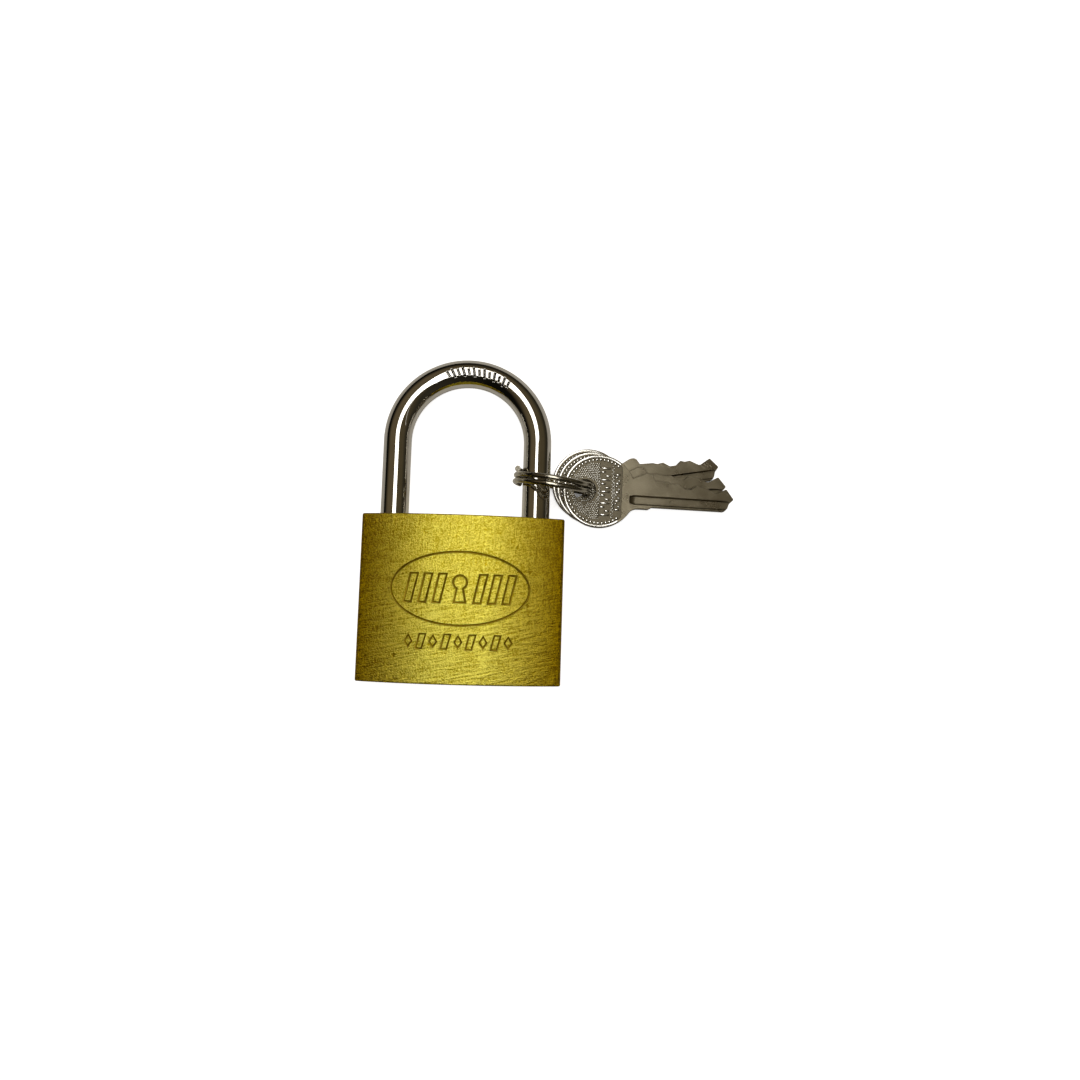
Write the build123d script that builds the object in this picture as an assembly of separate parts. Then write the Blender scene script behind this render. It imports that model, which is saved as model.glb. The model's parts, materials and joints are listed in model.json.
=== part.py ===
"""Pin-tumbler padlock with a lifting shackle, a split key ring and three keys.

Millimetres. The padlock lies on its back: +X runs across the width, +Y along the shackle legs
away from the case, and +Z out of the front face. The origin is the middle of the keyway mouth,
in the plane of the case's bottom face. The back of the case rests on the plane Z = -CASE_T / 2.
"""
from build123d import *
import math
import os

os.makedirs("parts", exist_ok=True)

# Case: a convex brass block
CASE_W = 50.0
CASE_H = 41.0
CASE_T = 17.0
CASE_SIDE_T = 9.0
CASE_EDGE_R = 1.0
CASE_END_EDGE_R = 0.4
ENGRAVE_DEPTH = 0.3
ENGRAVE_LINE = 0.5

# Engraving on the front: an oval round a keyhole and slanted bars, and a row of marks under it
OVAL_Y = 23.0
OVAL_SEMI = (17.0, 9.1)
KEYHOLE_R = 1.9
KEYHOLE_RISE = 1.5
KEYHOLE_NECK = (0.9, 0.6)
KEYHOLE_FOOT = (1.7, -3.6)
BAR_SIZE = (2.3, 7.4)
BAR_SLANT = 12.0
BAR_FIRST_X = 4.9
BAR_STEP = 3.5
BARS_PER_SIDE = 3
MARK_Y = 10.2
MARK_STEP = 3.0
MARKS_PER_SIDE = 4
MARK_LINE = 0.42
TICK_SIZE = (1.9, 3.9)
TICK_SLANT = 14.0
DIAMOND_HALF = (1.1, 1.8)

# Shackle: a round bar bent to a U, long heel leg at -X, short toe leg at +X
BAR_R = 3.5
LEG_X = 17.75
CROWN_Y = 60.3
HEEL_END_Y = 19.0
TOE_END_Y = 31.0
LEG_END_CHAMFER = 0.6
STROKE_COUNT = 13
STROKE_FIRST_ANGLE = 56.0
STROKE_STEP_ANGLE = 4.3
STROKE_LENGTHS = (1.6, 2.4)
STROKE_W = 0.5
STROKE_SLANT = 14.0
STROKE_OUTWARD = -0.3
STROKE_DEPTH = 0.25
LIFT = 10.5
BORE_CLEAR = 0.05
CUT_PAST = 1.0
EMBED = 0.2
HEEL_BORE_Y = 5.0
TOE_BORE_Y = 30.5

# Stop pin that keeps the heel leg in the case
STOP_PIN_R = 1.0
STOP_PIN_X = -20.9
STOP_PIN_Y = 33.5
CROSS_PIN_TOP_Z = 4.0
PLAY = 0.3

# Plug, cam and their retaining pin
PLUG_R = 5.5
PLUG_FACE_Y = 0.3
PLUG_END_Y = 29.4
KEYWAY_END_Y = 21.8
KEYWAY_W = 2.1
KEYWAY_LOW = -3.5
KEYWAY_HIGH = 3.75
GROOVE_Y = 26.0
GROOVE_ROOT_R = 4.3
RETAINER_R = 0.8
RETAINER_X = -5.4
RIB_CLEAR = 0.1
RIB_H = 0.45
CAM_R = 4.9
CAM_T = 1.6
CAM_CLEAR = 0.1
CAM_WELL_R = 2.6
CAM_PIN_R = 1.0
CAM_PIN_OFFSET = 1.4
CAM_PIN_END_Y = 35.5
TANG_W = 1.8
TANG_H = 0.9
TANG_L = 5.0

# Latch bolt, which slides along X into the notch in the toe leg
LATCH_R = 2.5
LATCH_Y = 35.0
LATCH_BACK_X = -4.6
LATCH_NOSE_X = 14.1
LATCH_BORE_END_X = -9.5
LATCH_CHAMFER = 0.4
CAM_PIN_REACH = CAM_PIN_OFFSET * math.sin(math.radians(45))
LATCH_TRAVEL = 2 * CAM_PIN_REACH
LATCH_PLUG_X = LEG_X + BAR_R + 0.1
POCKET_CLEAR = 0.15
POCKET_PAST = 0.5

# Pin stacks
PIN_R = 1.3
CHAMBER_R = 1.35
FIRST_PIN_Y = 4.6
PIN_PITCH = 3.8
KEY_PIN_OUTER = 5.35
KEY_PIN_TIPS = (3.05, 1.95, 2.6, 1.3)
KEY_PIN_DOME = 0.35
KEY_PIN_POINT = (0.35, 0.8)
DRIVER_INNER_X = 5.56
DRIVER_L = 4.2
DRIVER_CHAMFER = 0.15
CHAMBER_PLUG_X = 19.0

# Springs: mean radius, wire radius, turns; and the gap at each end
SHACKLE_SPRING = (2.4, 0.35, 7)
LATCH_SPRING = (1.6, 0.25, 4)
PIN_SPRING = (0.95, 0.16, 9)
SPRING_GAP = 0.1
PIN_SPRING_GAP = 0.04

# Split ring of coiled wire, leaning against the toe leg
RING_WIRE_R = 0.68
RING_MEAN_R = 9.5
RING_PITCH = 1.6
RING_TURNS = 2.1
RING_CENTRE = (22.0, 50.6, 1.8)
RING_YAW = 9.0
RING_LEAN = 5.0
RING_START = 172.0

# Keys: bow centre at the local origin, blade along local +X, cuts towards local +Y
KEY_T = 1.9
KEY_EDGE = 0.15
KEY_BOW_R = 9.35
KEY_RIM = 0.65
KEY_RECESS = 0.2
KEY_HOLE_R = 2.9
KEY_HOLE_U = -3.7
KEY_NECK_R = 3.0
KEY_FIELD_U = 5.8
KEY_BLADE_LOW = ((6.4, -3.95), (12.8, -3.95), (13.8, -3.35), (32.5, -3.3), (33.5, -2.4), (33.9, -1.2))
KEY_TIP_U = 35.0
KEY_CUTS = ((33.0, 2.6), (30.4, 1.3), (29.8, 1.3), (27.6, 2.7), (26.2, 2.6), (25.2, 3.0), (23.8, 1.95),
            (22.1, 1.95), (20.5, 3.15), (18.9, 3.0), (17.7, 3.4), (14.3, 3.6))
KEY_SHOULDER = ((13.4, 5.35), (11.9, 5.35), (8.4, 3.8), (6.4, 3.8))
KEY_SHOULDER_R = 1.2
KEY_TIP_R = 0.35
KEY_GROOVE = (-2.6, -0.8)
KEY_GROOVE_SLOPE = 0.35
KEY_GROOVE_DEPTH = 0.55
KEY_GROOVE_START_U = 9.3
KEY_CUTTER_R = 2.5
KEY_TILT = 3.0
KEY_PLAY = 0.06
# Hole centre (x, y) and heading in degrees, front key first
KEY_PLACES = (((30.2, 49.2), -1.3), ((28.7, 50.0), 2.8), ((27.7, 50.6), 10.2))
KEY_FRONT_Z = -1.5


def rod(start, direction, length, radius):
    """Solid cylinder from a start point along a direction."""
    plane = Plane(origin=start, z_dir=direction)
    return plane * Cylinder(radius, length, align=(Align.CENTER, Align.CENTER, Align.MIN))


def block(low, high):
    """Box between two corner points."""
    size = [b - a for a, b in zip(low, high)]
    middle = [(a + b) / 2 for a, b in zip(low, high)]
    return Pos(*middle) * Box(*size)


def coil(start, direction, length, mean_r, wire_r, turns):
    """Helical spring of round wire that fills the given length."""
    height = length - 2 * wire_r
    path = Helix(pitch=height / turns, height=height, radius=mean_r)
    tangent = path % 0
    profile = Plane(origin=path @ 0, z_dir=tangent) * Circle(wire_r)
    spring = sweep(profile, path=path, is_frenet=True)
    return Plane(origin=start, z_dir=direction) * Pos(0, 0, wire_r) * spring


def case_prism(inset):
    """The case's convex outline, with its front and back arcs moved inwards, as a full-height prism."""
    half_w = CASE_W / 2
    side = CASE_SIDE_T / 2 - inset
    crown = CASE_T / 2 - inset
    front = ThreePointArc((-half_w, side), (0, crown), (half_w, side))
    back = ThreePointArc((-half_w, -side), (0, -crown), (half_w, -side))
    left = Line((-half_w, side), (-half_w, -side))
    right = Line((half_w, side), (half_w, -side))
    return extrude(Plane.XZ * make_face([front, right, back, left]), amount=-CASE_H)


def case_blank():
    """Outer shape of the case with its edges rounded."""
    blank = case_prism(0)
    blank = fillet(blank.edges().filter_by(Axis.Y), CASE_EDGE_R)
    ends = blank.faces().filter_by(Axis.Y)
    return fillet([edge for face in ends for edge in face.edges()], CASE_END_EDGE_R)


def slanted_bar(x, y, width, height, slant):
    """Parallelogram centred on (x, y) that leans to the right."""
    lean = height / 2 * math.tan(math.radians(slant))
    half_w = width / 2
    half_h = height / 2
    corners = [(x - half_w - lean, y - half_h), (x + half_w - lean, y - half_h),
               (x + half_w + lean, y + half_h), (x - half_w + lean, y + half_h)]
    return make_face(Polyline(*corners, close=True))


def outline_of(shape, line):
    """The band of a given width just inside the edge of a flat shape."""
    return shape - offset(shape, amount=-line)


def keyhole_outline():
    """Band along the edge of a keyhole drawn in the middle of the oval."""
    neck_x, neck_y = KEYHOLE_NECK
    foot_x, foot_y = KEYHOLE_FOOT
    foot = Polyline((-neck_x, neck_y), (neck_x, neck_y), (foot_x, foot_y), (-foot_x, foot_y), close=True)
    keyhole = Pos(0, KEYHOLE_RISE) * Circle(KEYHOLE_R) + make_face(foot)
    return Pos(0, OVAL_Y) * outline_of(keyhole, ENGRAVE_LINE)


def front_motif():
    """Flat drawing of the engraving: an oval, a keyhole between slanted bars, and a row of marks."""
    oval_a, oval_b = OVAL_SEMI
    motif = Pos(0, OVAL_Y) * (Ellipse(oval_a, oval_b) - Ellipse(oval_a - ENGRAVE_LINE, oval_b - ENGRAVE_LINE))
    motif += keyhole_outline()
    for step in range(BARS_PER_SIDE):
        for side in (-1, 1):
            bar = slanted_bar(side * (BAR_FIRST_X + BAR_STEP * step), OVAL_Y, *BAR_SIZE, BAR_SLANT)
            motif += outline_of(bar, ENGRAVE_LINE)
    half_w, half_h = DIAMOND_HALF
    diamond = make_face(Polyline((-half_w, 0), (0, -half_h), (half_w, 0), (0, half_h), close=True))
    tick = slanted_bar(0, 0, *TICK_SIZE, TICK_SLANT)
    for step in range(-MARKS_PER_SIDE, MARKS_PER_SIDE + 1):
        mark = tick if step % 2 else diamond
        motif += Pos(MARK_STEP * step, MARK_Y) * outline_of(mark, MARK_LINE)
    return motif


def make_body():
    """Case with its engraving and every bore in it."""
    body = case_blank()
    drawing = extrude(Plane.XY.offset(CASE_SIDE_T / 2) * front_motif(), amount=CASE_T)
    body -= drawing - case_prism(ENGRAVE_DEPTH)
    leg_bore_r = BAR_R + BORE_CLEAR
    body -= rod((-LEG_X, HEEL_BORE_Y, 0), (0, 1, 0), CASE_H, leg_bore_r)
    body -= rod((LEG_X, TOE_BORE_Y, 0), (0, 1, 0), CASE_H, leg_bore_r)
    body -= rod((0, -CUT_PAST, 0), (0, 1, 0), PLUG_END_Y + CUT_PAST + CAM_CLEAR, PLUG_R + BORE_CLEAR)
    body -= rod((0, PLUG_END_Y, 0), (0, 1, 0), CAM_T + PLAY, CAM_R + CAM_CLEAR)
    body -= rod((0, PLUG_END_Y, 0), (0, 1, 0), LATCH_Y - PLUG_END_Y, CAM_WELL_R)
    body -= rod((LATCH_BORE_END_X, LATCH_Y, 0), (1, 0, 0), CASE_W, LATCH_R + BORE_CLEAR)
    for y in pin_rows():
        body -= rod((PLUG_R - CUT_PAST, y, 0), (1, 0, 0), CASE_W, CHAMBER_R)
    body -= cross_pin(STOP_PIN_X, STOP_PIN_Y, STOP_PIN_R, False)
    body -= cross_pin(RETAINER_X, GROOVE_Y, RETAINER_R, False)
    return body


def pin_rows():
    """Heights of the four pin chambers."""
    return [FIRST_PIN_Y + PIN_PITCH * i for i in range(len(KEY_PIN_TIPS))]


def cross_pin(x, y, radius, flush=True):
    """Pin driven in from the back of the case, trimmed flush with the case."""
    pin = rod((x, y, -CASE_T), (0, 0, 1), CASE_T + CROSS_PIN_TOP_Z, radius)
    return pin & case_prism(0) if flush else pin


def make_shackle():
    """Bent bar with the locking notch, the stop slot and a row of stamped strokes on the crown."""
    heel = Line((-LEG_X, HEEL_END_Y, 0), (-LEG_X, CROWN_Y, 0))
    crown = ThreePointArc((-LEG_X, CROWN_Y, 0), (0, CROWN_Y + LEG_X, 0), (LEG_X, CROWN_Y, 0))
    toe = Line((LEG_X, CROWN_Y, 0), (LEG_X, TOE_END_Y, 0))
    section = Plane(origin=(-LEG_X, HEEL_END_Y, 0), z_dir=(0, 1, 0)) * Circle(BAR_R)
    bar = sweep(section, path=heel + crown + toe)
    ends = bar.faces().filter_by(GeomType.PLANE)
    bar = chamfer([edge for face in ends for edge in face.edges()], LEG_END_CHAMFER)
    half = LATCH_R + PLAY
    notch_floor_x = LATCH_NOSE_X + LATCH_TRAVEL + PLAY
    past = BAR_R + CUT_PAST
    bar -= block((LEG_X - past, LATCH_Y - half, -past), (notch_floor_x, LATCH_Y + half, past))
    slot_x = STOP_PIN_X + STOP_PIN_R + PLAY
    slot_low = STOP_PIN_Y - STOP_PIN_R - PLAY - LIFT
    slot_high = STOP_PIN_Y + STOP_PIN_R + PLAY
    bar -= block((-LEG_X - past, slot_low, -past), (slot_x, slot_high, past))
    return bar - crown_strokes()


def crown_strokes():
    """Cutters for a row of short strokes on the front of the crown, a fixed depth under its surface."""
    cutters = Part()
    for i in range(STROKE_COUNT):
        angle = STROKE_FIRST_ANGLE + STROKE_STEP_ANGLE * i
        place = Pos(0, CROWN_Y, 0) * Rot(0, 0, angle) * Pos(LEG_X + STROKE_OUTWARD, 0, BAR_R)
        cutters += place * Rot(0, 0, STROKE_SLANT) * Box(STROKE_LENGTHS[i % 2], STROKE_W, BAR_R)
    core = Pos(0, CROWN_Y, 0) * Torus(LEG_X, BAR_R - STROKE_DEPTH)
    return cutters - core


def make_plug():
    """Plug in its rest position, a quarter turn from the locked one."""
    plug = rod((0, PLUG_FACE_Y, 0), (0, 1, 0), PLUG_END_Y - PLUG_FACE_Y, PLUG_R)
    groove_half = RETAINER_R + PLAY
    groove = rod((0, GROOVE_Y - groove_half, 0), (0, 1, 0), 2 * groove_half, PLUG_R + CUT_PAST)
    plug -= groove - rod((0, 0, 0), (0, 1, 0), CASE_H, GROOVE_ROOT_R)
    wall = KEYWAY_W / 2
    plug -= block((KEYWAY_LOW, -CUT_PAST, -wall), (KEYWAY_HIGH, KEYWAY_END_Y, wall))
    rib_low = KEY_GROOVE[0] + RIB_CLEAR
    rib_high = KEY_GROOVE[1] - RIB_CLEAR
    plug += block((rib_low, PLUG_FACE_Y, -wall - EMBED), (rib_high, KEYWAY_END_Y, -wall + RIB_H))
    for y in pin_rows():
        plug -= rod((0, y, 0), (1, 0, 0), PLUG_R + CUT_PAST, CHAMBER_R)
    tang = TANG_W / 2
    plug += block((-TANG_L / 2, PLUG_END_Y - EMBED, -tang), (TANG_L / 2, PLUG_END_Y + TANG_H, tang))
    return Rot(0, 90, 0) * plug


def make_cam():
    """Cam plate on the plug's tang, with the eccentric pin that shifts the latch."""
    cam = rod((0, PLUG_END_Y, 0), (0, 1, 0), CAM_T, CAM_R)
    slot_half_w = TANG_W / 2 + BORE_CLEAR
    slot_half_l = TANG_L / 2 + BORE_CLEAR
    slot_top = PLUG_END_Y + TANG_H + CAM_CLEAR
    cam -= block((-slot_half_w, 0, -slot_half_l), (slot_half_w, slot_top, slot_half_l))
    low = PLUG_END_Y + CAM_T - EMBED
    return cam + rod((-CAM_PIN_REACH, low, -CAM_PIN_REACH), (0, 1, 0), CAM_PIN_END_Y - low, CAM_PIN_R)


def make_latch():
    """Round latch bolt, retracted, with a pocket for the cam pin."""
    bolt = rod((LATCH_BACK_X, LATCH_Y, 0), (1, 0, 0), LATCH_NOSE_X - LATCH_BACK_X, LATCH_R)
    bolt = chamfer(bolt.faces().sort_by(Axis.X)[-1].edges(), LATCH_CHAMFER)
    half_w = CAM_PIN_R + POCKET_CLEAR
    low = (-CAM_PIN_REACH - half_w, LATCH_Y - LATCH_R - CUT_PAST, -CAM_PIN_OFFSET - half_w)
    return bolt - block(low, (-CAM_PIN_REACH + half_w, CAM_PIN_END_Y + POCKET_PAST, PLAY))


def make_key_pin(y, tip):
    """Key pin in the plug at rest: domed towards the bore wall and pointed towards the keyway."""
    flat_r, point = KEY_PIN_POINT
    dome = KEY_PIN_DOME
    profile = Polyline((0, -tip), (flat_r, -tip), (PIN_R, -tip - point), (PIN_R, -KEY_PIN_OUTER + dome),
                       (PIN_R - dome, -KEY_PIN_OUTER), (0, -KEY_PIN_OUTER), close=True)
    turned = revolve(Plane.XZ * make_face(profile), axis=Axis.Z, revolution_arc=360)
    return Pos(0, y, 0) * turned


def make_driver_pin(y):
    """Driver pin in the case, just outside the plug."""
    pin = rod((DRIVER_INNER_X, y, 0), (1, 0, 0), DRIVER_L, PIN_R)
    return chamfer(pin.faces().filter_by(Axis.X).edges(), DRIVER_CHAMFER)


def make_pin_spring(y):
    """Spring between a driver pin and its chamber plug."""
    start = DRIVER_INNER_X + DRIVER_L + PIN_SPRING_GAP
    return coil((start, y, 0), (1, 0, 0), CHAMBER_PLUG_X - PIN_SPRING_GAP - start, *PIN_SPRING)


def make_chamber_plugs():
    """The four plugs that close the pin chambers, flush with the side of the case."""
    length = CASE_W / 2 - CHAMBER_PLUG_X
    return [rod((CHAMBER_PLUG_X, y, 0), (1, 0, 0), length, CHAMBER_R) for y in pin_rows()]


def make_key_ring():
    """Two turns of wire in a ring that leans on the toe leg and stands on the ground."""
    yaw = math.radians(RING_YAW)
    lean = math.radians(RING_LEAN)
    right = Vector(math.cos(yaw), -math.sin(yaw), 0)
    front = Vector(-math.sin(yaw) * math.sin(lean), -math.cos(yaw) * math.sin(lean), math.cos(lean))
    along = right.cross(front)
    start = math.radians(RING_START)
    start_dir = right * math.cos(start) + front * math.sin(start)
    height = RING_PITCH * RING_TURNS
    origin = Vector(*RING_CENTRE) - along * (height / 2)
    path = Helix(pitch=RING_PITCH, height=height, radius=RING_MEAN_R)
    section = Plane(origin=path @ 0, z_dir=path % 0) * Circle(RING_WIRE_R)
    return Plane(origin=origin, x_dir=start_dir, z_dir=along) * sweep(section, path=path, is_frenet=True)


def nearest_corner(outline, u, v):
    """The corner of a flat shape that is nearest to a point."""
    return min(outline.vertices(), key=lambda corner: math.hypot(corner.X - u, corner.Y - v))


def key_outline():
    """Flat outline of bow, shoulder, neck and cut blade."""
    blade = Polyline(*KEY_BLADE_LOW, (KEY_TIP_U, 0), *KEY_CUTS, *KEY_SHOULDER, close=True)
    outline = Circle(KEY_BOW_R) + make_face(blade)
    neck_v = KEY_BLADE_LOW[0][1]
    neck = (math.sqrt(KEY_BOW_R ** 2 - neck_v ** 2), neck_v)
    for radius, corners in ((KEY_NECK_R, (neck,)), (KEY_SHOULDER_R, KEY_SHOULDER[:2]),
                            (KEY_TIP_R, ((KEY_TIP_U, 0), KEY_CUTS[0]))):
        outline = fillet([nearest_corner(outline, *corner) for corner in corners], radius)
    return outline


def key_groove():
    """Shape swept by the milling cutter for the blade's groove: sloping sides and a round run-out."""
    low, high = KEY_GROOVE
    floor = KEY_T / 2 - KEY_GROOVE_DEPTH
    height = KEY_GROOVE_DEPTH + CUT_PAST
    spread = KEY_GROOVE_SLOPE * height / KEY_GROOVE_DEPTH
    outline = Polyline((low, floor), (high, floor), (high + spread, floor + height),
                       (low - spread, floor + height), close=True)
    section = Plane.YZ.offset(KEY_GROOVE_START_U) * make_face(outline)
    spindle = Axis((KEY_GROOVE_START_U, 0, floor + KEY_CUTTER_R), (0, 1, 0))
    return extrude(section, amount=KEY_TIP_U) + revolve(section, axis=spindle, revolution_arc=360)


def make_key():
    """Key about its own bow centre, with a hole, a sunk field on each face and a milled groove."""
    half_t = KEY_T / 2
    key = extrude(key_outline(), amount=half_t, both=True)
    key = chamfer([edge for face in key.faces().filter_by(Axis.Z) for edge in face.edges()], KEY_EDGE)
    key -= rod((KEY_HOLE_U, 0, -KEY_T), (0, 0, 1), 2 * KEY_T, KEY_HOLE_R)
    field = Circle(KEY_BOW_R - KEY_RIM)
    field &= Pos(KEY_FIELD_U - KEY_BOW_R, 0) * Rectangle(2 * KEY_BOW_R, 2 * KEY_BOW_R)
    for low in (half_t - KEY_RECESS, -half_t - CUT_PAST):
        key -= Pos(0, 0, low) * extrude(field, amount=KEY_RECESS + CUT_PAST)
    return key - key_groove()


def key_plane(index):
    """Plane of a key with its origin at the bow centre: all keys are parallel, one on another."""
    tilt = math.radians(KEY_TILT)
    normal = Vector(math.sin(tilt), 0, math.cos(tilt))
    (x, y), heading = KEY_PLACES[index]
    front_x = KEY_PLACES[0][0][0]
    drop = index * (KEY_T + KEY_PLAY)
    z = KEY_FRONT_Z - drop / math.cos(tilt) - (x - front_x) * math.tan(tilt)
    level = Vector(math.cos(tilt), 0, -math.sin(tilt))
    blade_dir = level * math.cos(math.radians(heading)) + Vector(0, 1, 0) * math.sin(math.radians(heading))
    bow_centre = Vector(x, y, z) - blade_dir * KEY_HOLE_U
    return Plane(origin=bow_centre, x_dir=blade_dir, z_dir=normal)


def main():
    """Build every node, print where the keys' holes are, and write one STEP file per node."""
    nodes = {
        "body": make_body(),
        "shackle": make_shackle(),
        "shackle_spring": coil((-LEG_X, HEEL_BORE_Y + SPRING_GAP, 0), (0, 1, 0),
                               HEEL_END_Y - HEEL_BORE_Y - 2 * SPRING_GAP, *SHACKLE_SPRING),
        "shackle_stop_pin": cross_pin(STOP_PIN_X, STOP_PIN_Y, STOP_PIN_R),
        "plug": make_plug(),
        "plug_cam": make_cam(),
        "plug_retaining_pin": cross_pin(RETAINER_X, GROOVE_Y, RETAINER_R),
        "latch_bolt": make_latch(),
        "latch_spring": coil((LATCH_BORE_END_X + SPRING_GAP, LATCH_Y, 0), (1, 0, 0),
                             LATCH_BACK_X - LATCH_BORE_END_X - 2 * SPRING_GAP, *LATCH_SPRING),
        "latch_bore_plug": rod((LATCH_PLUG_X, LATCH_Y, 0), (1, 0, 0), CASE_W / 2 - LATCH_PLUG_X,
                               LATCH_R + BORE_CLEAR),
        "chamber_plugs": Compound(children=make_chamber_plugs()),
        "key_ring": make_key_ring(),
    }
    for number, (y, tip) in enumerate(zip(pin_rows(), KEY_PIN_TIPS), start=1):
        nodes[f"key_pin_{number}"] = make_key_pin(y, tip)
        nodes[f"driver_pin_{number}"] = make_driver_pin(y)
        nodes[f"pin_spring_{number}"] = make_pin_spring(y)
    key = make_key()
    for index in range(len(KEY_PLACES)):
        nodes[f"key_{index + 1}"] = key_plane(index) * key
        hole = key_plane(index).from_local_coords((KEY_HOLE_U, 0, 0))
        print(f"key_{index + 1} hole centre {hole.X:.3f} {hole.Y:.3f} {hole.Z:.3f}")
    for name, shape in nodes.items():
        export_step(shape, f"parts/{name}.step")


main()
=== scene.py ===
"""Looks of the padlock: materials, engraving, crown strokes, relief on the key bows, light and camera."""

import json
import math

import bmesh
import bpy
from mathutils import Matrix, Vector


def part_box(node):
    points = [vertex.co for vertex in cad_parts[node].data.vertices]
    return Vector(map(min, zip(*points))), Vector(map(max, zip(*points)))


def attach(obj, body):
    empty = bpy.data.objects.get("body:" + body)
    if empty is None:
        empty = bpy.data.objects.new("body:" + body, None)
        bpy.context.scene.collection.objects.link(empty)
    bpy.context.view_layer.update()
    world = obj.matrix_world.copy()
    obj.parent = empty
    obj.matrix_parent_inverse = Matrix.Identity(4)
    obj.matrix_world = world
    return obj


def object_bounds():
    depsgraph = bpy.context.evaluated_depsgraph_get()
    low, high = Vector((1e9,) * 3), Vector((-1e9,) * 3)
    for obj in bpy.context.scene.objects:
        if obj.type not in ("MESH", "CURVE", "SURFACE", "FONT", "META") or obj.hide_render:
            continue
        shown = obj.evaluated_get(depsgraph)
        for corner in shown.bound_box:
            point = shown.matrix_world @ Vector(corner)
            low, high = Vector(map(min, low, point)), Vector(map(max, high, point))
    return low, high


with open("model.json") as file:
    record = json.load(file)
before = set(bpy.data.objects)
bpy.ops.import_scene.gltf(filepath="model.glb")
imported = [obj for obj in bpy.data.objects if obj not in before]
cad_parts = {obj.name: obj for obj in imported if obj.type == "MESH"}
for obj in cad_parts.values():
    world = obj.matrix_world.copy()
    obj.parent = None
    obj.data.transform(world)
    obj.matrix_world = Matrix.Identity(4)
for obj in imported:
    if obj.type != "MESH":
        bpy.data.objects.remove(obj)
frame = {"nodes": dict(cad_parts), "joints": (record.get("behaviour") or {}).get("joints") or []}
NODES = frame["nodes"]
CAD_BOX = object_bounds()
MM = 0.001

PIN_COUNT = 4
KEY_COUNT = 3

# Floor and lights, in metres and watts
FLOOR_SIZE = 3.0
FLOOR_GLOW = 0.9
FLOOR_SHADE_REACH = 0.008
SOFTBOX_PLACE = (0.005, 0.1625, 0.30)
SOFTBOX_TARGET = (0.005, 0.1625, 0.0)
SOFTBOX_SIZE = (0.13, 0.395)
SOFTBOX_POWER = 0.61
STRIP_PLACE = (0.17, 0.05, 0.28)
STRIP_TARGET = (0.0, 0.030, 0.0)
STRIP_SIZE = (0.008, 0.30)
STRIP_POWER = 0.004

# Camera, in millimetres and radians
CAMERA_PLACE = (14.45, 18.77, 204.5)
CAMERA_TURN = (0.0843, -0.0226, 0.0321)
CAMERA_LENS = 27.1
CAMERA_SENSOR_W = 36.0


# ---------------------------------------------------------------- shader helpers

def new_material(name):
    """Empty node material with a Principled shader; returns (material, nodes, links, shader)."""
    material = bpy.data.materials.new(name)
    material.use_nodes = True
    tree = material.node_tree
    shader = tree.nodes["Principled BSDF"]
    return material, tree.nodes, tree.links, shader


def mapped(nodes, links, scale=(1, 1, 1), rotation=(0, 0, 0)):
    """Object coordinates, first turned and then stretched, as an output socket."""
    vector = nodes.new("ShaderNodeTexCoord").outputs["Object"]
    for socket, value in (("Rotation", rotation), ("Scale", scale)):
        mapping = nodes.new("ShaderNodeMapping")
        mapping.inputs[socket].default_value = value
        links.new(vector, mapping.inputs["Vector"])
        vector = mapping.outputs["Vector"]
    return vector


def noise(nodes, links, vector, scale, detail=4.0, roughness=0.55):
    """Noise value as an output socket."""
    node = nodes.new("ShaderNodeTexNoise")
    node.inputs["Scale"].default_value = scale
    node.inputs["Detail"].default_value = detail
    node.inputs["Roughness"].default_value = roughness
    links.new(vector, node.inputs["Vector"])
    return node.outputs["Fac"]


def remap(nodes, links, value, low, high, to_low, to_high):
    """Clamped linear remap of a value."""
    node = nodes.new("ShaderNodeMapRange")
    node.inputs["From Min"].default_value = low
    node.inputs["From Max"].default_value = high
    node.inputs["To Min"].default_value = to_low
    node.inputs["To Max"].default_value = to_high
    links.new(value, node.inputs["Value"])
    return node.outputs["Result"]


def combine(nodes, links, operation, a, b):
    """Math node on two values, each a socket or a number."""
    node = nodes.new("ShaderNodeMath")
    node.operation = operation
    for socket, value in zip(node.inputs, (a, b)):
        if isinstance(value, (int, float)):
            socket.default_value = value
        else:
            links.new(value, socket)
    return node.outputs["Value"]


def mix_colour(nodes, links, factor, a, b):
    """Mix of two colours, each a socket or an RGB triple."""
    node = nodes.new("ShaderNodeMix")
    node.data_type = "RGBA"
    links.new(factor, node.inputs["Factor"])
    for socket, value in zip((node.inputs[6], node.inputs[7]), (a, b)):
        if isinstance(value, tuple):
            socket.default_value = (*value, 1.0)
        else:
            links.new(value, socket)
    return node.outputs[2]


def bump(nodes, links, shader, height, distance, strength):
    """Bump of a given height in metres."""
    node = nodes.new("ShaderNodeBump")
    node.inputs["Strength"].default_value = strength
    node.inputs["Distance"].default_value = distance
    links.new(height, node.inputs["Height"])
    links.new(node.outputs["Normal"], shader.inputs["Normal"])


def openness(nodes, links, reach):
    """0 in tight corners and 1 in the open, from the shape within a given reach in metres."""
    node = nodes.new("ShaderNodeAmbientOcclusion")
    node.samples = 8
    node.inputs["Distance"].default_value = reach
    return node.outputs["AO"]


# ---------------------------------------------------------------- materials

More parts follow.
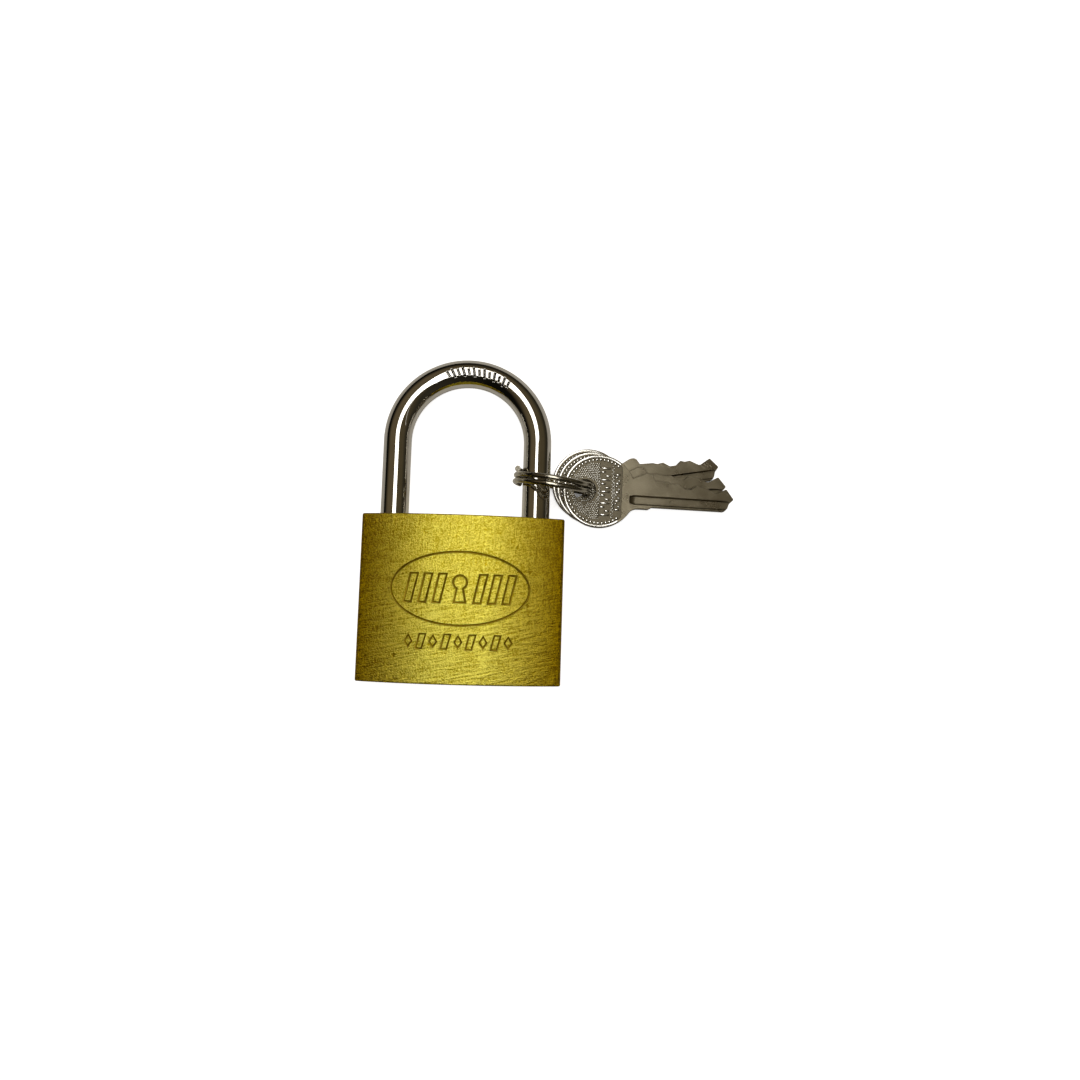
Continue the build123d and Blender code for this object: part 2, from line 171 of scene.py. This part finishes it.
def brushed_brass():
    """Satin yellow brass: vertical grain, rub marks, sandy sparkle, pits, painted shade in tight corners,
    and painted shade that turns the colour darker and more orange towards the sides.
    """
    material, nodes, links, shader = new_material("case_brass")
    shader.inputs["Metallic"].default_value = 1.0
    grain = noise(nodes, links, mapped(nodes, links, (2400, 420, 900)), 1.0, 3.0)
    sand = noise(nodes, links, mapped(nodes, links), 2600.0, 3.0, 0.7)
    rubs = noise(nodes, links, mapped(nodes, links, (230, 2400, 400), (0, 0, math.radians(-12))), 1.0, 3.0)
    blotch = noise(nodes, links, mapped(nodes, links), 170.0, 3.0)
    pits = noise(nodes, links, mapped(nodes, links, (500, 700, 500)), 1.0, 1.0)
    split = nodes.new("ShaderNodeSeparateXYZ")
    links.new(mapped(nodes, links), split.inputs["Vector"])
    facing = nodes.new("ShaderNodeSeparateXYZ")
    links.new(nodes.new("ShaderNodeTexCoord").outputs["Normal"], facing.inputs["Vector"])
    low_face = remap(nodes, links, split.outputs["Y"], 0.030, 0.012, 0.35, 1.0)
    end_face = combine(nodes, links, "ABSOLUTE", facing.outputs["Y"], 0)
    rubbed = combine(nodes, links, "MULTIPLY", low_face, remap(nodes, links, end_face, 0.3, 0.8, 1.0, 0.1))
    rub_marks = combine(nodes, links, "MULTIPLY", remap(nodes, links, rubs, 0.38, 0.62, 0, 1.3), rubbed)
    height = combine(nodes, links, "ADD", remap(nodes, links, grain, 0.35, 0.65, 0, 0.6), rub_marks)
    height = combine(nodes, links, "ADD", height, remap(nodes, links, sand, 0.38, 0.62, 0, 1.4))
    height = combine(nodes, links, "ADD", height, remap(nodes, links, pits, 0.20, 0.27, -2.5, 0))
    bump(nodes, links, shader, height, 0.000036, 0.8)
    worn = remap(nodes, links, height, 0.5, 2.0, 0, 1)
    tone = mix_colour(nodes, links, worn, (0.50, 0.37, 0.008), (1.0, 0.88, 0.13))
    # Painted shade: towards the sides of the case the colour turns darker and more orange, as if the curved
    # front turned away from the light.
    painted_side_shade = mix_colour(nodes, links, worn, (0.235, 0.125, 0.001), (0.60, 0.39, 0.004))
    sides = remap(nodes, links, combine(nodes, links, "ABSOLUTE", split.outputs["X"], 0), 0.007, 0.024, 0, 1)
    tone = mix_colour(nodes, links, sides, tone, painted_side_shade)
    shade = remap(nodes, links, blotch, 0.35, 0.65, 0.9, 1.0)
    # Painted shade: dark brown in tight corners such as the engraved lines, from the shape within reach,
    # mixed with the random blotch tone.
    painted_corner_shade = remap(nodes, links, openness(nodes, links, 0.0006), 0.35, 0.95, 0.25, 1.0)
    blotch_and_corner_shade = combine(nodes, links, "MULTIPLY", shade, painted_corner_shade)
    tone = mix_colour(nodes, links, blotch_and_corner_shade, (0.10, 0.06, 0.002), tone)
    links.new(tone, shader.inputs["Base Color"])
    rough = combine(nodes, links, "ADD", remap(nodes, links, blotch, 0.3, 0.7, 0.36, 0.42),
                    remap(nodes, links, grain, 0.3, 0.7, -0.03, 0.03))
    links.new(rough, shader.inputs["Roughness"])
    return material


def plain_metal(name, colour_a, colour_b, rough_low, rough_high, scale, relief=0.000004):
    """Metal with soft variation of tone and roughness and a fine surface grain."""
    material, nodes, links, shader = new_material(name)
    shader.inputs["Metallic"].default_value = 1.0
    cloud = noise(nodes, links, mapped(nodes, links), scale, 4.0)
    fine = noise(nodes, links, mapped(nodes, links), scale * 12, 2.0)
    tone = mix_colour(nodes, links, remap(nodes, links, cloud, 0.35, 0.65, 0, 1), colour_a, colour_b)
    links.new(tone, shader.inputs["Base Color"])
    rough = remap(nodes, links, cloud, 0.3, 0.7, rough_low, rough_high)
    links.new(rough, shader.inputs["Roughness"])
    bump(nodes, links, shader, fine, relief, 0.6)
    return material


def worn_nickel(name, dark, light, rough_low, rough_high):
    """Handled nickel: soft mottling, fine sandy grain, hairline scratches painted lighter as glints, and
    painted shade in the corners and between stacked keys.
    """
    material, nodes, links, shader = new_material(name)
    shader.inputs["Metallic"].default_value = 1.0
    cloud = noise(nodes, links, mapped(nodes, links), 260.0, 3.0)
    sand = noise(nodes, links, mapped(nodes, links), 3800.0, 3.0, 0.7)
    hairs = noise(nodes, links, mapped(nodes, links, (260, 5200, 260), (0, 0, math.radians(38))), 1.0, 2.0)
    # Hairline scratches: fine grooves in the bump, and a painted glint that lightens their colour.
    scratch_and_glint = remap(nodes, links, hairs, 0.66, 0.74, 0, 1)
    mottle = combine(nodes, links, "ADD", remap(nodes, links, cloud, 0.3, 0.7, 0, 0.45),
                     remap(nodes, links, sand, 0.3, 0.7, 0, 0.55))
    tone = mix_colour(nodes, links, combine(nodes, links, "ADD", mottle, scratch_and_glint), dark, light)
    # Painted shade: darker in tight corners and where the keys lie on each other, from the shape within
    # reach.
    painted_corner_shade = remap(nodes, links, openness(nodes, links, 0.0009), 0.3, 0.95, 0.0, 1.0)
    tone = mix_colour(nodes, links, painted_corner_shade, (0.045, 0.038, 0.024), tone)
    links.new(tone, shader.inputs["Base Color"])
    links.new(remap(nodes, links, cloud, 0.3, 0.7, rough_low, rough_high), shader.inputs["Roughness"])
    height = combine(nodes, links, "SUBTRACT", sand, scratch_and_glint)
    bump(nodes, links, shader, height, 0.000014, 0.7)
    return material


def paint(node_name, material):
    """Put one material on a CAD node."""
    mesh = NODES[node_name].data
    mesh.materials.clear()
    mesh.materials.append(material)


def paint_nodes():
    """Materials for every CAD node; returns those that added pieces share."""
    brass = brushed_brass()
    chrome = plain_metal("chrome_bar", (0.60, 0.57, 0.50), (0.66, 0.63, 0.56), 0.03, 0.06, 300.0, 0.000002)
    nickel = worn_nickel("key_nickel", (0.265, 0.23, 0.155), (0.36, 0.315, 0.22), 0.26, 0.34)
    wire = plain_metal("ring_steel", (0.34, 0.31, 0.24), (0.44, 0.41, 0.33), 0.14, 0.24, 500.0)
    turned = plain_metal("plug_brass", (0.70, 0.54, 0.10), (0.80, 0.64, 0.16), 0.22, 0.32, 300.0)
    ground = plain_metal("latch_steel", (0.50, 0.49, 0.46), (0.58, 0.57, 0.54), 0.24, 0.34, 400.0)
    spring = plain_metal("spring_steel", (0.45, 0.45, 0.45), (0.55, 0.55, 0.55), 0.18, 0.28, 600.0)
    paint("shackle", chrome)
    paint("key_ring", wire)
    for name in ("body", "shackle_stop_pin", "plug_retaining_pin", "latch_bore_plug", "chamber_plugs"):
        paint(name, brass)
    paint("plug", turned)
    for name in ("plug_cam", "latch_bolt"):
        paint(name, ground)
    for name in ("shackle_spring", "latch_spring"):
        paint(name, spring)
    for number in range(1, PIN_COUNT + 1):
        paint(f"key_pin_{number}", turned)
        paint(f"driver_pin_{number}", turned)
        paint(f"pin_spring_{number}", spring)
    for number in range(1, KEY_COUNT + 1):
        paint(f"key_{number}", nickel)
    # Painted shade: dark brown brass for the walls of the engraved lines.
    groove = plain_metal("brass_groove_painted_shade", (0.16, 0.105, 0.004), (0.26, 0.18, 0.01), 0.40, 0.55, 900.0)
    # Painted shade: near-black chrome for the walls of the stamped strokes on the crown.
    nick = plain_metal("chrome_stroke_painted_shade", (0.010, 0.009, 0.008), (0.03, 0.028, 0.024), 0.5, 0.6, 900.0)
    return brass, groove, chrome, nick


# ---------------------------------------------------------------- pieces drawn in millimetres

def add_piece(name, mesh, materials, body, place=None):
    """Turn a bmesh drawn in millimetres into a smooth piece that rides on a body."""
    data = bpy.data.meshes.new(name)
    bmesh.ops.scale(mesh, vec=(MM, MM, MM), verts=mesh.verts)
    mesh.to_mesh(data)
    mesh.free()
    for material in materials:
        data.materials.append(material)
    data.shade_smooth()
    piece = bpy.data.objects.new(name, data)
    if place is not None:
        piece.matrix_world = place
    bpy.context.scene.collection.objects.link(piece)
    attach(piece, body)


def mitres(outline):
    """Outward offset direction at each corner of a closed anticlockwise outline."""
    result = []
    for i, point in enumerate(outline):
        before = (point - outline[i - 1]).normalized()
        after = (outline[(i + 1) % len(outline)] - point).normalized()
        n_before = Vector((before.y, -before.x))
        n_after = Vector((after.y, -after.x))
        result.append((n_before + n_after) / (1 + n_before.dot(n_after)))
    return result


def inset(outline, distance):
    """Closed outline moved inwards."""
    return [point - out * distance for point, out in zip(outline, mitres(outline))]


def add_strip(mesh, outline, profile, level, closed=True, second=()):
    """Strip along an anticlockwise outline; the profile lists (outward offset, rise) over level(x, y).

    The numbered steps of the profile in second get the piece's second material.
    """
    rows = []
    for point, out in zip(outline, mitres(outline)):
        row = []
        for offset, rise in profile:
            place = point + out * offset
            row.append(mesh.verts.new((place.x, place.y, level(place.x, place.y) + rise)))
        rows.append(row)
    for i in range(len(rows) if closed else len(rows) - 1):
        here, there = rows[i], rows[(i + 1) % len(rows)]
        for k in range(len(profile) - 1):
            face = mesh.faces.new((here[k], here[k + 1], there[k + 1], there[k]))
            face.material_index = int(k in second)


def polygon(*corners):
    return [Vector(corner) for corner in corners]


def arc(centre, radius_x, radius_y, start, end, steps):
    """Points along an ellipse between two angles in degrees, the last one left out."""
    points = []
    for i in range(steps):
        angle = math.radians(start + (end - start) * i / steps)
        points.append(Vector(centre) + Vector((radius_x * math.cos(angle), radius_y * math.sin(angle))))
    return points


def divided(outline, longest):
    """Closed outline with points added until no side is longer than a given length."""
    points = []
    for i, point in enumerate(outline):
        ahead = outline[(i + 1) % len(outline)]
        count = math.ceil((ahead - point).length / longest)
        points += [point.lerp(ahead, k / count) for k in range(count)]
    return points


def shifted(outline, x, y):
    return [point + Vector((x, y)) for point in outline]


# ---------------------------------------------------------------- engraving on the case

CASE_HALF_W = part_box("body")[1][0] / MM
CASE_TOP_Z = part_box("body")[1][2] / MM
CASE_SIDE_Z = 4.5
FRONT_SAG = CASE_TOP_Z - CASE_SIDE_Z
FRONT_R = (CASE_HALF_W ** 2 + FRONT_SAG ** 2) / (2 * FRONT_SAG)
ENGRAVE_LINE = 0.5
OVAL_Y = 23.0
OVAL_SEMI = (17.0, 9.1)
OVAL_STEPS = 180
KEYHOLE_R = 1.9
KEYHOLE_RISE = 1.5
KEYHOLE_NECK = (0.9, 0.6)
KEYHOLE_FOOT = (1.7, -3.6)
KEYHOLE_STEPS = 40
KEYHOLE_SEARCH = 0.01
BAR_SIZE = (2.3, 7.4)
BAR_SLANT = 12.0
BAR_FIRST_X = 4.9
BAR_STEP = 3.5
BARS_PER_SIDE = 3
MARK_Y = 10.2
MARK_STEP = 3.0
MARKS_PER_SIDE = 4
MARK_LINE = 0.42
TICK_SIZE = (1.9, 3.9)
TICK_SLANT = 14.0
DIAMOND_HALF = (1.1, 1.8)
GROOVE_PROFILE = ((-0.85, -0.02), (-0.64, 0.11), (-0.48, 0.03), (0.0, -0.55),
                  (0.48, 0.03), (0.64, 0.11), (0.85, -0.02))
GROOVE_WALLS = (2, 3)


def front_level(x, y):
    """Height of the case's curved front, in millimetres."""
    return CASE_TOP_Z - FRONT_R + math.sqrt(FRONT_R ** 2 - x ** 2)


def slanted_bar(width, height, slant):
    """Parallelogram about the origin that leans to the right."""
    lean = height / 2 * math.tan(math.radians(slant))
    half_w = width / 2
    half_h = height / 2
    return polygon((-half_w - lean, -half_h), (half_w - lean, -half_h), (half_w + lean, half_h),
                   (-half_w + lean, half_h))


def keyhole():
    """Keyhole about the middle of the oval: most of a circle on a foot that widens downwards."""
    neck_x, neck_y = KEYHOLE_NECK
    foot_x, foot_y = KEYHOLE_FOOT
    slope = (foot_x - neck_x) / (neck_y - foot_y)
    meet_y = neck_y
    while math.hypot(neck_x + (neck_y - meet_y) * slope, meet_y - KEYHOLE_RISE) < KEYHOLE_R:
        meet_y -= KEYHOLE_SEARCH
    meet_x = neck_x + (neck_y - meet_y) * slope
    start = math.degrees(math.atan2(meet_y - KEYHOLE_RISE, meet_x))
    head = arc((0, KEYHOLE_RISE), KEYHOLE_R, KEYHOLE_R, start, 180 - start, KEYHOLE_STEPS)
    return head + polygon((-meet_x, meet_y), (-foot_x, foot_y), (foot_x, foot_y))


def engraving(brass, groove):
    """Lining of the engraved lines: V-shaped, with the low burr that the tool pushed up on each side, and a
    dark brass on the V walls as painted shade.
    """
    lines = [(arc((0, OVAL_Y), *OVAL_SEMI, 0, 360, OVAL_STEPS), ENGRAVE_LINE),
             (shifted(keyhole(), 0, OVAL_Y), ENGRAVE_LINE)]
    for step in range(BARS_PER_SIDE):
        for side in (-1, 1):
            bar = shifted(slanted_bar(*BAR_SIZE, BAR_SLANT), side * (BAR_FIRST_X + BAR_STEP * step), OVAL_Y)
            lines.append((bar, ENGRAVE_LINE))
    half_w, half_h = DIAMOND_HALF
    diamond = polygon((-half_w, 0), (0, -half_h), (half_w, 0), (0, half_h))
    for step in range(-MARKS_PER_SIDE, MARKS_PER_SIDE + 1):
        mark = slanted_bar(*TICK_SIZE, TICK_SLANT) if step % 2 else diamond
        lines.append((shifted(mark, MARK_STEP * step, MARK_Y), MARK_LINE))
    mesh = bmesh.new()
    for outline, width in lines:
        profile = [(offset * width, rise * width) for offset, rise in GROOVE_PROFILE]
        add_strip(mesh, inset(outline, width / 2), profile, front_level, second=GROOVE_WALLS)
    add_piece("engraving", mesh, (brass, groove), "housing")


# ---------------------------------------------------------------- strokes on the crown

LEG_X = 17.75
CROWN_Y = 60.3
BAR_R = 3.5
STROKE_COUNT = 13
STROKE_FIRST_ANGLE = 56.0
STROKE_STEP_ANGLE = 4.3
STROKE_LENGTHS = (1.6, 2.4)
STROKE_W = 0.5
STROKE_SLANT = 14.0
STROKE_OUTWARD = -0.3
STROKE_FACET = 0.3
BURR_PROFILE = ((-0.24, -0.2), (0.0, 0.04), (0.08, 0.07), (0.2, -0.02))
BURR_WALL = (0,)


def crown_level(x, y):
    """Height of the front of the bent bar, in millimetres."""
    across = math.hypot(x, y - CROWN_Y) - LEG_X
    return math.sqrt(BAR_R ** 2 - across ** 2)


def stroke_burrs(chrome, nick):
    """Raised burr round each stamped stroke on the crown, with a near-black wall as painted shade."""
    mesh = bmesh.new()
    for i in range(STROKE_COUNT):
        half_l = STROKE_LENGTHS[i % 2] / 2
        half_w = STROKE_W / 2
        corners = polygon((-half_l, -half_w), (half_l, -half_w), (half_l, half_w), (-half_l, half_w))
        turn = Matrix.Rotation(math.radians(STROKE_SLANT), 2)
        around = Matrix.Rotation(math.radians(STROKE_FIRST_ANGLE + STROKE_STEP_ANGLE * i), 2)
        out = Vector((LEG_X + STROKE_OUTWARD, 0))
        placed = [around @ (turn @ point + out) for point in divided(corners, STROKE_FACET)]
        add_strip(mesh, shifted(placed, 0, CROWN_Y), BURR_PROFILE, crown_level, second=BURR_WALL)
    add_piece("crown_burrs", mesh, (chrome, nick), "shackle")


# ---------------------------------------------------------------- raised detail on the key bows

KEY_T = 1.9
KEY_RECESS = 0.2
BOW_R = 9.35
RIM_W = 0.65
HOLE_U = -3.7
HOLE_R = 2.9
FIELD_U = 5.8
FIELD_LIFT = 0.01
FIELD_STEPS = 120
RIM_PROFILE = ((-0.33, -0.01), (-0.2, 0.045), (0.1, 0.045), (0.2, -0.01))
RIM_STEPS = 120
BEAD_RING_R = 8.2
BEAD_R = 0.42
BEAD_H = 0.19
BEAD_COUNT = 52
BEAD_SIDES = 10
DOT_PITCH = 0.54
DOT_R = 0.24
DOT_H = 0.13
DOT_SIDES = 6
DOT_ROW_RATIO = 0.866
DOT_HOLE_GAP = 0.45
DOME_SHOULDER = 0.7
DOT_FIELD_R = 7.5
BANDS = ((0.1, 2.8), (3.9, 5.4))
BAND_GAP = 0.3
BAND_END_GAP = 0.2
BAND_PITCHES = (1.0, 0.75)
TICK_HALF_W = 0.26
TICK_RISE = 0.19
TICK_EDGE = 0.16
TICK_END_GAP = 0.1
TICK_SHORTENING = 0.45
RAIL_BELOW = (0.2, 0.04)
RAIL_RISE = 0.12
RAIL_EDGE = 0.05


def key_matrix(number):
    """Place of a key's bow centre, blade along local X, front face along local Z, from its hinge and tip."""
    joint = next(j for j in frame["joints"] if j["child"] == f"key_{number}")
    hole = Vector(joint["pos_m"])
    normal = Vector(joint["axis"]).normalized()
    tip = max((v.co for v in NODES[f"key_{number}"].data.vertices), key=lambda co: (co - hole).length)
    blade = (tip - hole) - normal * (tip - hole).dot(normal)
    blade.normalize()
    turn = Matrix((blade, normal.cross(blade), normal)).transposed().to_4x4()
    return Matrix.Translation(hole - blade * HOLE_U * MM) @ turn


def add_dome(mesh, u, v, base, side, radius, height, sides):
    """Low round bump on the plane z = side * base."""
    ring = []
    shoulder = []
    for i in range(sides):
        angle = 2 * math.pi * i / sides
        c, s = radius * math.cos(angle), radius * math.sin(angle)
        ring.append(mesh.verts.new((u + c, v + s, side * base)))
        shoulder.append(mesh.verts.new((u + DOME_SHOULDER * c, v + DOME_SHOULDER * s,
                                        side * (base + DOME_SHOULDER * height))))
    top = mesh.verts.new((u, v, side * (base + height)))
    for i in range(sides):
        j = (i + 1) % sides
        quad = [ring[i], ring[j], shoulder[j], shoulder[i]]
        cap = [shoulder[i], shoulder[j], top]
        for corners in (quad, cap):
            mesh.faces.new(corners if side > 0 else corners[::-1])


def add_pad(mesh, u_low, u_high, v_low, v_high, base, side, height, slope):
    """Raised bar with sloping sides on the plane z = side * base."""
    low = [(u_low, v_low), (u_high, v_low), (u_high, v_high), (u_low, v_high)]
    top = [(u_low + slope, v_low + slope), (u_high - slope, v_low + slope),
           (u_high - slope, v_high - slope), (u_low + slope, v_high - slope)]
    foot = [mesh.verts.new((u, v, side * base)) for u, v in low]
    head = [mesh.verts.new((u, v, side * (base + height))) for u, v in top]
    faces = [[foot[i], foot[(i + 1) % 4], head[(i + 1) % 4], head[i]] for i in range(4)] + [head]
    for corners in faces:
        mesh.faces.new(corners if side > 0 else corners[::-1])


def in_band(u):
    return any(low - BAND_GAP < u < high + BAND_GAP for low, high in BANDS)


def field_edge(angle):
    """Distance from the hole's centre to the edge of the sunk field, in a direction."""
    c, s = math.cos(angle), math.sin(angle)
    radius = BOW_R - RIM_W
    reach = -HOLE_U * c + math.sqrt(radius ** 2 - (HOLE_U * s) ** 2)
    if c > 0:
        reach = min(reach, (FIELD_U - HOLE_U) / c)
    return reach


def bow_ground(number, material):
    """Dark floor of the sunk field on both faces of one key."""
    mesh = bmesh.new()
    level = KEY_T / 2 - KEY_RECESS + FIELD_LIFT
    for side in (1, -1):
        inner, outer = [], []
        for i in range(FIELD_STEPS):
            angle = 2 * math.pi * i / FIELD_STEPS
            c, s = math.cos(angle), math.sin(angle)
            reach = field_edge(angle)
            inner.append(mesh.verts.new((HOLE_U + HOLE_R * c, HOLE_R * s, side * level)))
            outer.append(mesh.verts.new((HOLE_U + reach * c, reach * s, side * level)))
        for i in range(FIELD_STEPS):
            j = (i + 1) % FIELD_STEPS
            corners = [inner[i], outer[i], outer[j], inner[j]]
            mesh.faces.new(corners if side > 0 else corners[::-1])
    add_piece(f"key_{number}_field", mesh, (material,), f"key_{number}", key_matrix(number))


def add_beads(mesh, base, side):
    for i in range(BEAD_COUNT):
        angle = 2 * math.pi * i / BEAD_COUNT
        u, v = BEAD_RING_R * math.cos(angle), BEAD_RING_R * math.sin(angle)
        if u < FIELD_U - BEAD_R:
            add_dome(mesh, u, v, base, side, BEAD_R, BEAD_H, BEAD_SIDES)


def add_dots(mesh, base, side):
    rows = int(DOT_FIELD_R / DOT_PITCH / DOT_ROW_RATIO)
    for row in range(-rows, rows + 1):
        v = row * DOT_PITCH * DOT_ROW_RATIO
        for column in range(-rows, rows + 1):
            u = (column + 0.5 * (row % 2)) * DOT_PITCH
            clear_of_hole = math.hypot(u - HOLE_U, v) > HOLE_R + DOT_HOLE_GAP
            if math.hypot(u, v) < DOT_FIELD_R and clear_of_hole and u < FIELD_U - DOT_R and not in_band(u):
                add_dome(mesh, u, v, base, side, DOT_R, DOT_H, DOT_SIDES)


def add_bands(mesh, base, side):
    """Two rows of plain raised ticks, long and short, each with a thin rail below it."""
    rail_low, rail_high = RAIL_BELOW
    for (low, high), pitch in zip(BANDS, BAND_PITCHES):
        reach = math.sqrt(DOT_FIELD_R ** 2 - max(low ** 2, high ** 2)) - BAND_END_GAP
        steps = int(reach / pitch)
        for step in range(-steps, steps + 1):
            v = step * pitch
            start = low + TICK_END_GAP + TICK_SHORTENING * (high - low) * (step % 3 == 1)
            end = high - TICK_END_GAP - TICK_SHORTENING * (high - low) * (step % 3 == 2)
            add_pad(mesh, start, end, v - TICK_HALF_W, v + TICK_HALF_W, base, side, TICK_RISE, TICK_EDGE)
        add_pad(mesh, low - rail_low, low - rail_high, -reach, reach, base, side, RAIL_RISE, RAIL_EDGE)


def bow_relief(number, material):
    """Bead ring, dotted ground and plain ticks on both faces of one key's bow, and a rounded rim on the
    front face.
    """
    mesh = bmesh.new()
    base = KEY_T / 2 - KEY_RECESS
    for side in (1, -1):
        add_beads(mesh, base, side)
        add_dots(mesh, base, side)
        add_bands(mesh, base, side)
    swing = math.degrees(math.acos(FIELD_U / BOW_R))
    rim = arc((0, 0), BOW_R - RIM_W / 2, BOW_R - RIM_W / 2, swing, 360 - swing, RIM_STEPS)
    add_strip(mesh, rim[1:-1], RIM_PROFILE, lambda x, y: KEY_T / 2, closed=False)
    add_piece(f"key_{number}_relief", mesh, (material,), f"key_{number}", key_matrix(number))


# ---------------------------------------------------------------- floor, light, camera

def make_floor():
    """Pale floor at the height of the case's back: glowing white to the eye, with painted shadow where the
    glow fades in tight corners by the object, softer in reflections.
    """
    bpy.ops.mesh.primitive_plane_add(size=FLOOR_SIZE, location=(0, 0, CAD_BOX[0][2]))
    floor = bpy.context.active_object
    floor.name = "floor"
    material, nodes, links, shader = new_material("floor_white")
    shader.inputs["Base Color"].default_value = (0.80, 0.78, 0.74, 1)
    shader.inputs["Roughness"].default_value = 0.9
    shader.inputs["Emission Color"].default_value = (1.0, 1.0, 1.0, 1)
    path = nodes.new("ShaderNodeLightPath")
    # Painted shadow: the floor's glow to the camera fades where the object closes it in.
    glow_with_painted_shadow = remap(nodes, links, openness(nodes, links, FLOOR_SHADE_REACH), 0.10, 0.35, 0, FLOOR_GLOW)
    glow = combine(nodes, links, "MULTIPLY", path.outputs["Is Camera Ray"], glow_with_painted_shadow)
    links.new(glow, shader.inputs["Emission Strength"])
    floor.data.materials.append(material)


def area_light(name, place, target, size, power):
    """Rectangular soft light aimed at a point."""
    data = bpy.data.lights.new(name, "AREA")
    data.shape = "RECTANGLE"
    data.size, data.size_y = size
    data.energy = power
    light = bpy.data.objects.new(name, data)
    light.location = place
    light.rotation_euler = (Vector(target) - Vector(place)).to_track_quat("-Z", "Y").to_euler()
    bpy.context.scene.collection.objects.link(light)


def make_light():
    """Long soft box overhead that reaches behind the crown, thin strip to the right, and a dim warm room."""
    area_light("softbox", SOFTBOX_PLACE, SOFTBOX_TARGET, SOFTBOX_SIZE, SOFTBOX_POWER)
    area_light("strip", STRIP_PLACE, STRIP_TARGET, STRIP_SIZE, STRIP_POWER)
    world = bpy.data.worlds.new("room")
    bpy.context.scene.world = world
    world.use_nodes = True
    nodes = world.node_tree.nodes
    links = world.node_tree.links
    background = nodes["Background"]
    coords = nodes.new("ShaderNodeTexCoord")
    split = nodes.new("ShaderNodeSeparateXYZ")
    links.new(coords.outputs["Generated"], split.inputs["Vector"])
    up = remap(nodes, links, split.outputs["Z"], 0.30, 0.62, 0, 1)
    right = remap(nodes, links, split.outputs["X"], -0.4, 0.6, 0, 1)
    away = remap(nodes, links, split.outputs["Y"], -0.45, -0.05, 0, 1)
    wall = mix_colour(nodes, links, right, (0.005, 0.005, 0.004), (0.034, 0.030, 0.020))
    ceiling = mix_colour(nodes, links, right, (0.13, 0.10, 0.058), (0.085, 0.068, 0.038))
    room = mix_colour(nodes, links, combine(nodes, links, "MULTIPLY", up, away), wall, ceiling)
    path = nodes.new("ShaderNodeLightPath")
    seen = mix_colour(nodes, links, path.outputs["Is Camera Ray"], room, (0.93, 0.93, 0.92))
    links.new(seen, background.inputs["Color"])
    background.inputs["Strength"].default_value = 1.0


def make_camera():
    """Camera nearly overhead, leaning a little to the bottom of the case."""
    data = bpy.data.cameras.new("camera")
    data.sensor_width = CAMERA_SENSOR_W
    data.lens = CAMERA_LENS
    data.clip_start = 0.01
    camera = bpy.data.objects.new("camera", data)
    camera.location = Vector(CAMERA_PLACE) * MM
    camera.rotation_mode = "ZYX"
    camera.rotation_euler = CAMERA_TURN
    bpy.context.scene.collection.objects.link(camera)
    bpy.context.scene.camera = camera


brass, groove, chrome, nick = paint_nodes()
engraving(brass, groove)
stroke_burrs(chrome, nick)
# Polished high points of the bow relief, lightened further as a painted highlight.
relief_polish_and_highlight = worn_nickel("key_relief_polish_highlight", (0.90, 0.87, 0.76), (1.0, 0.98, 0.92), 0.20, 0.28)
dark = worn_nickel("key_field", (0.10, 0.085, 0.055), (0.19, 0.165, 0.115), 0.40, 0.50)
for number in range(1, KEY_COUNT + 1):
    bow_ground(number, dark)
    bow_relief(number, relief_polish_and_highlight)
make_floor()
make_light()
make_camera()
bpy.context.scene.view_settings.view_transform = "Standard"

bpy.context.view_layer.update()
